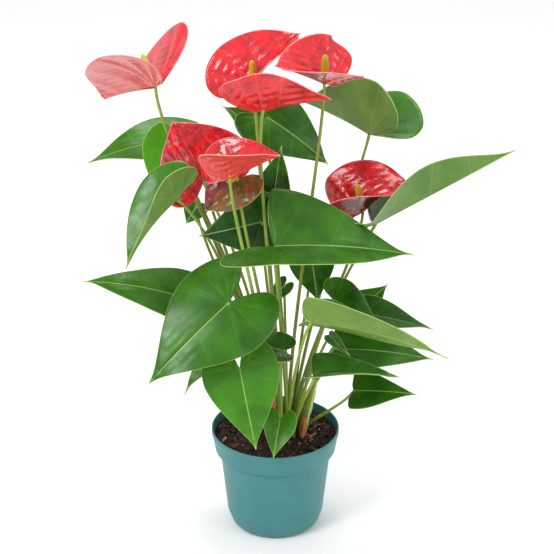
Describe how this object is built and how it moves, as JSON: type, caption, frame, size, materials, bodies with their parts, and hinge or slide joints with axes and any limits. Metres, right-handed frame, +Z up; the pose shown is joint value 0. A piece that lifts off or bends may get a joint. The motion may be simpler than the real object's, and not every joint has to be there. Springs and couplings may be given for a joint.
{
  "type": "potted anthurium",
  "caption": "Flowering anthurium house plant with heart-shaped green leaves and glossy red spathes, growing in peat in a round tapered plastic nursery pot.",
  "frame": {"origin": "middle of the pot's underside, on the surface that the pot stands on", "axes": "+Z up along the pot's axis, +Y away from the viewer's side, +X to the viewer's right"},
  "size_m": [0.4533, 0.2755, 0.5606],
  "materials": {
    "pot_teal": "satin moulded plastic",
    "peat": "moist coarse peat with bark fibres",
    "leaf_green": "waxy leaf, paler beneath",
    "leaf_young": "waxy young leaf, yellow-green",
    "stem_bronze": "smooth green to bronze stem",
    "spathe_red": "glossy lacquered red bract, puckered between veins",
    "spathe_old": "ageing bract, olive and rust",
    "spadix_yellow": "fine-beaded yellow spike",
    "bud_crimson": "rolled young bract",
    "sheath_brown": "dry papery sheath"
  },
  "bodies": {
    "root": {"pot": "pot_teal", "soil": "peat", "leaf_01": "leaf_green", "leaf_02": "leaf_young", "leaf_03": "leaf_green", "leaf_04": "leaf_green", "leaf_05": "leaf_green", "leaf_06": "leaf_green", "leaf_07": "leaf_green", "leaf_08": "leaf_young", "leaf_09": "leaf_green", "leaf_10": "leaf_green", "leaf_11": "leaf_green", "leaf_12": "leaf_green", "leaf_13": "leaf_green", "leaf_14": "leaf_green", "leaf_15": "leaf_green", "leaf_16": "leaf_green", "leaf_17": "leaf_green", "leaf_18": "leaf_green", "leaf_19": "leaf_green", "leaf_20": "leaf_green", "leaf_21": "leaf_green", "leaf_22": "leaf_green", "leaf_23": "leaf_green", "leaf_24": "leaf_green", "leaf_25": "leaf_green", "leaf_26": "leaf_green", "leaf_27": "leaf_green", "flower_1_stalk": "stem_bronze", "flower_1_spathe": "spathe_red", "flower_1_spadix": "spadix_yellow", "flower_2_stalk": "stem_bronze", "flower_2_spathe": "spathe_red", "flower_2_spadix": "spadix_yellow", "flower_3_stalk": "stem_bronze", "flower_3_spathe": "spathe_red", "flower_3_spadix": "spadix_yellow", "flower_4_stalk": "stem_bronze", "flower_4_spathe": "spathe_red", "flower_4_spadix": "spadix_yellow", "flower_5_stalk": "stem_bronze", "flower_5_spathe": "spathe_red", "flower_5_spadix": "spadix_yellow", "flower_6_stalk": "stem_bronze", "flower_6_spathe": "spathe_red", "flower_6_spadix": "spadix_yellow", "flower_7_stalk": "stem_bronze", "flower_7_spathe": "spathe_old", "flower_7_spadix": "spadix_yellow", "flower_8_stalk": "stem_bronze", "flower_8_spathe": "spathe_red", "flower_8_spadix": "spadix_yellow", "bud_stalk": "stem_bronze", "bud": "bud_crimson", "sheath_green": "leaf_young", "sheath_dry": "sheath_brown"}
  },
  "joints": []
}
